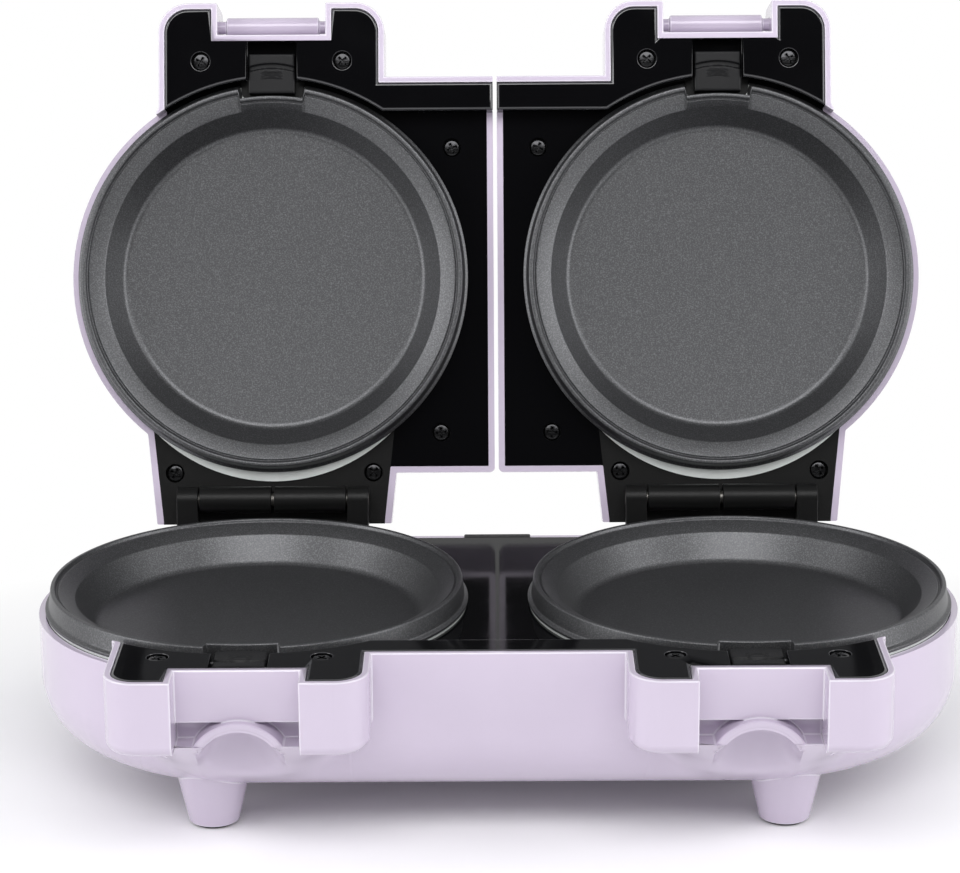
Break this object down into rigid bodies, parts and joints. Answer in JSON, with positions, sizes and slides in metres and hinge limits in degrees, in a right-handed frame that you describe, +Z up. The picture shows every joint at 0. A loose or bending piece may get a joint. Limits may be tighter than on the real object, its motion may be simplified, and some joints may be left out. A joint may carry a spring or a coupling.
{
  "type": "double snack maker",
  "caption": "Worktop double snack maker: a long base with two round cooking pans and two separately hinged lids with matching pans, latches and release catches.",
  "frame": {"origin": "on the floor, at the middle of the footprint of the open appliance", "axes": "+X runs along the base from the left plate to the right plate, +Y from the latches at the front to the hinges at the back, +Z is up"},
  "size_m": [0.3344, 0.2966, 0.2627],
  "materials": {
    "lilac_plastic": "smooth glossy lilac",
    "black_gloss_plastic": "polished black",
    "dark_matte_plastic": "satin dark grey",
    "black_matte_plastic": "satin black",
    "nonstick_coating": "fine speckled dark grey non-stick coating",
    "galvanised_steel": "plain coated sheet",
    "heater_steel": "dull steel",
    "bright_aluminium": "plain",
    "blackened_steel": "blackened",
    "foot_rubber": "matt",
    "white_ceramic": "unglazed",
    "red_lens": "clear red",
    "green_lens": "clear green"
  },
  "bodies": {
    "base": {"base_shell": "lilac_plastic", "base_deck": "black_gloss_plastic", "deck_screws": "blackened_steel", "bracket_screws": "blackened_steel", "foot_pads": "foot_rubber", "cord_bush": "black_matte_plastic", "terminal_block": "white_ceramic", "base_bowl_left": "galvanised_steel", "base_heater_left": "heater_steel", "base_thermostat_left": "bright_aluminium", "hinge_bracket_left": "black_matte_plastic", "hinge_pin_left": "heater_steel", "base_bowl_right": "galvanised_steel", "base_heater_right": "heater_steel", "base_thermostat_right": "bright_aluminium", "hinge_bracket_right": "black_matte_plastic", "hinge_pin_right": "heater_steel"},
    "lid_left": {"lid_shell_left": "lilac_plastic", "lid_cover_left": "black_gloss_plastic", "lid_bowl_left": "galvanised_steel", "lid_heater_left": "heater_steel", "lid_thermostat_left": "bright_aluminium", "lid_cover_screws_left": "blackened_steel", "hinge_block_left": "black_matte_plastic", "hinge_screws_left": "blackened_steel", "power_lens_left": "red_lens", "ready_lens_left": "green_lens"},
    "base_plate_left_body": {"base_plate_left": "nonstick_coating"},
    "base_catch_left_body": {"base_catch_left": "dark_matte_plastic"},
    "lid_plate_left_body": {"lid_plate_left": "nonstick_coating"},
    "lid_catch_left_body": {"lid_catch_left": "dark_matte_plastic"},
    "latch_left_body": {"latch_left": "lilac_plastic"},
    "lid_right": {"lid_shell_right": "lilac_plastic", "lid_cover_right": "black_gloss_plastic", "lid_bowl_right": "galvanised_steel", "lid_heater_right": "heater_steel", "lid_thermostat_right": "bright_aluminium", "lid_cover_screws_right": "blackened_steel", "hinge_block_right": "black_matte_plastic", "hinge_screws_right": "blackened_steel", "power_lens_right": "red_lens", "ready_lens_right": "green_lens"},
    "base_plate_right_body": {"base_plate_right": "nonstick_coating"},
    "base_catch_right_body": {"base_catch_right": "dark_matte_plastic"},
    "lid_plate_right_body": {"lid_plate_right": "nonstick_coating"},
    "lid_catch_right_body": {"lid_catch_right": "dark_matte_plastic"},
    "latch_right_body": {"latch_right": "lilac_plastic"}
  },
  "joints": [
    {"name": "left_lid_hinge", "type": "hinge", "parent": "base", "child": "lid_left", "pos_m": [-0.0879, 0.04737, 0.0748], "axis": [1, 0, 0], "range_deg": [0, 107]},
    {"name": "left_latch_pivot", "type": "hinge", "parent": "lid_left", "child": "latch_left_body", "pos_m": [-0.0879, 0.11061, 0.25153], "axis": [1, 0, 0], "range_deg": [0, 180]},
    {"name": "left_base_catch_slide", "type": "slide", "parent": "base", "child": "base_catch_left_body", "axis": [0, -1, 0], "range_m": [0, 0.0028], "stiffness_N_per_m": 300, "springref_m": -0.002},
    {"name": "left_lid_catch_slide", "type": "slide", "parent": "lid_left", "child": "lid_catch_left_body", "axis": [0, 0.2924, 0.9563], "range_m": [0, 0.0028], "stiffness_N_per_m": 300, "springref_m": -0.002},
    {"name": "left_base_plate_lift", "type": "slide", "parent": "base", "child": "base_plate_left_body", "axis": [0, 0, -1], "range_m": [-0.02, 0]},
    {"name": "left_lid_plate_lift", "type": "slide", "parent": "lid_left", "child": "lid_plate_left_body", "axis": [0, 0.9563, -0.2924], "range_m": [-0.03, 0]},
    {"name": "right_lid_hinge", "type": "hinge", "parent": "base", "child": "lid_right", "pos_m": [0.0879, 0.04737, 0.0748], "axis": [1, 0, 0], "range_deg": [0, 107]},
    {"name": "right_latch_pivot", "type": "hinge", "parent": "lid_right", "child": "latch_right_body", "pos_m": [0.0879, 0.11061, 0.25153], "axis": [1, 0, 0], "range_deg": [0, 180]},
    {"name": "right_base_catch_slide", "type": "slide", "parent": "base", "child": "base_catch_right_body", "axis": [0, -1, 0], "range_m": [0, 0.0028], "stiffness_N_per_m": 300, "springref_m": -0.002},
    {"name": "right_lid_catch_slide", "type": "slide", "parent": "lid_right", "child": "lid_catch_right_body", "axis": [0, 0.2924, 0.9563], "range_m": [0, 0.0028], "stiffness_N_per_m": 300, "springref_m": -0.002},
    {"name": "right_base_plate_lift", "type": "slide", "parent": "base", "child": "base_plate_right_body", "axis": [0, 0, -1], "range_m": [-0.02, 0]},
    {"name": "right_lid_plate_lift", "type": "slide", "parent": "lid_right", "child": "lid_plate_right_body", "axis": [0, 0.9563, -0.2924], "range_m": [-0.03, 0]}
  ]
}
